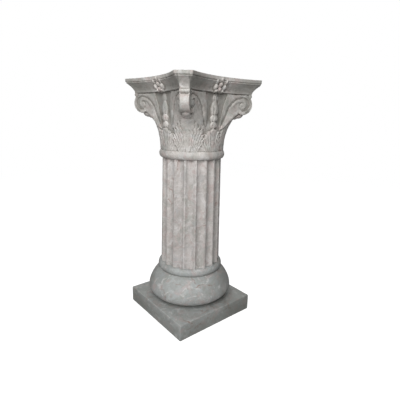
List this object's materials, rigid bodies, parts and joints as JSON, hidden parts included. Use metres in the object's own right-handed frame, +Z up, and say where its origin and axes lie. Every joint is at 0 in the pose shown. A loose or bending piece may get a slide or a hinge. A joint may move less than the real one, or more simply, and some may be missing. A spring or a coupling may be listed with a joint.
{
  "type": "decorative column",
  "caption": "Free-standing stone column: square plinth, round torus base, fluted shaft and a leafy capital with corner volutes under a hollow-sided top slab.",
  "frame": {"origin": "centre of the plinth's underside, on the ground", "axes": "+Z up along the column's axis, with the plinth's and the top slab's sides facing along X and Y"},
  "size_m": [0.3846, 0.3846, 0.9],
  "materials": {
    "base_stone": "satin",
    "shaft_stone": "satin",
    "capital_stone": "satin"
  },
  "bodies": {
    "root": {"base": "base_stone", "shaft": "shaft_stone", "capital": "capital_stone"}
  },
  "joints": []
}
